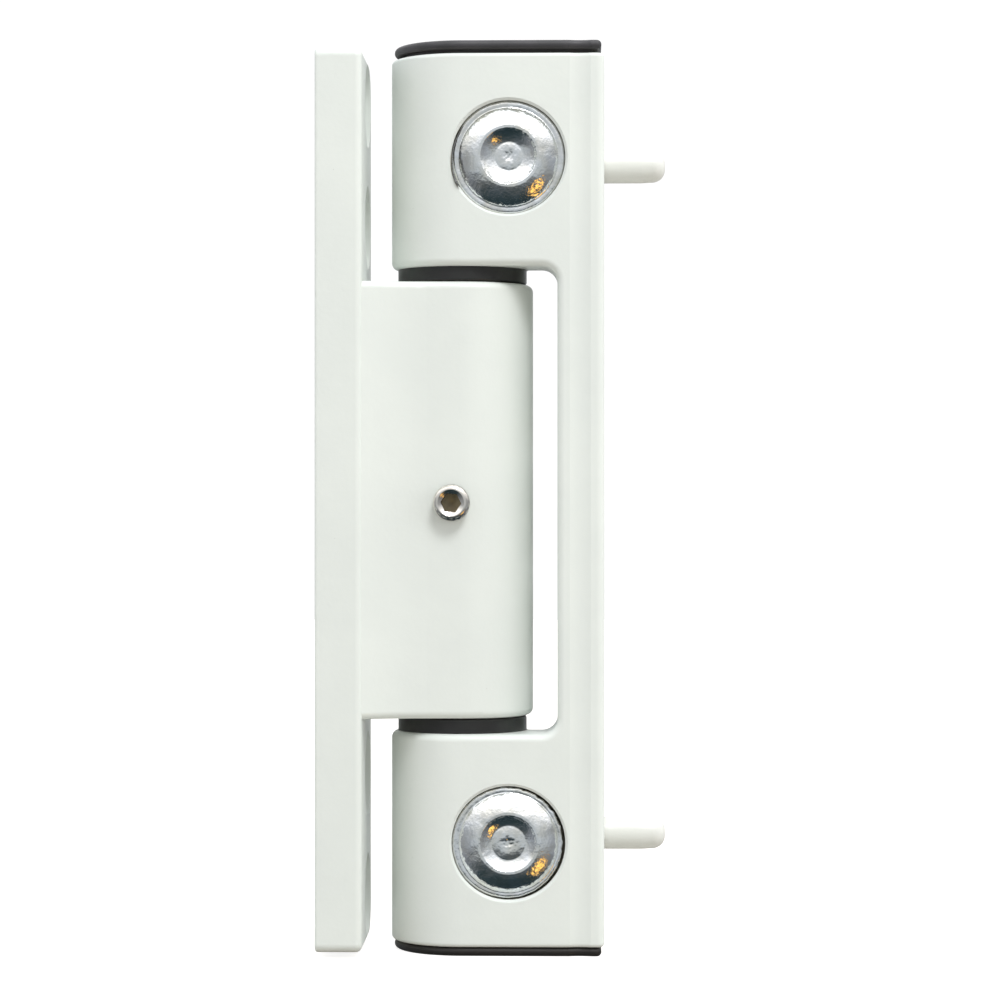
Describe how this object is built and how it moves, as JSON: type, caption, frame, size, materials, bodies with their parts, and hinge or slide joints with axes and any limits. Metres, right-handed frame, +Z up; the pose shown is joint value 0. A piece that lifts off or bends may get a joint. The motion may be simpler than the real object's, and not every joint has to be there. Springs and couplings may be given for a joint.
{
  "type": "door butt hinge",
  "caption": "Three-knuckle door butt hinge in white coat, with black end caps and bushes, a clamp screw in the middle knuckle, dished steel studs and locating pegs.",
  "frame": {"origin": "centre of the frame leaf's screw pattern, on its mounting face", "axes": "+Z up along the hinge pin, +X from the frame leaf towards the sash leaf, -Y towards the side that shows when the door is shut"},
  "size_m": [0.0488, 0.0225, 0.1272],
  "materials": {
    "white_coat": "white satin powder coat on extruded aluminium",
    "peg_coat": "white satin powder coat on steel pegs",
    "pin_steel": "ground steel",
    "stainless_steel": "turned stainless steel",
    "brass": "plain brass",
    "black_acetal": "black acetal, satin",
    "zinc_plated_steel": "bright zinc plate over pressed steel",
    "black_cap": "black moulded plastic, fine texture"
  },
  "bodies": {
    "frame_side": {"frame_leaf": "white_coat", "hinge_pin": "pin_steel"},
    "sash_side": {"sash_leaf": "white_coat", "upper_flanged_bush": "black_acetal", "lower_flanged_bush": "black_acetal", "upper_end_bush": "black_acetal", "lower_end_bush": "black_acetal", "upper_dished_stud": "zinc_plated_steel", "lower_dished_stud": "zinc_plated_steel", "upper_locating_peg": "peg_coat", "lower_locating_peg": "peg_coat", "upper_end_cap": "black_cap", "lower_end_cap": "black_cap"},
    "clamp_pad": {"pressure_pad": "brass"},
    "clamp_screw": {"grub_screw": "stainless_steel"}
  },
  "joints": [
    {"name": "door_swing", "type": "hinge", "parent": "frame_side", "child": "sash_side", "pos_m": [0.02, -0.0011, 0], "axis": [0, 0, -1], "range_deg": [0, 95]},
    {"name": "clamp_feed", "type": "slide", "parent": "frame_side", "child": "clamp_pad", "axis": [0, -1, 0], "range_m": [0, 0.0012]},
    {"name": "clamp_turn", "type": "hinge", "parent": "clamp_pad", "child": "clamp_screw", "pos_m": [0.0188, -0.0091, -0.0004], "axis": [0, -1, 0], "range_deg": [0, 540]}
  ],
  "couplings": [
    {"joint": "clamp_feed", "follows": "clamp_turn", "m_per_rad": 0.00012732}
  ]
}
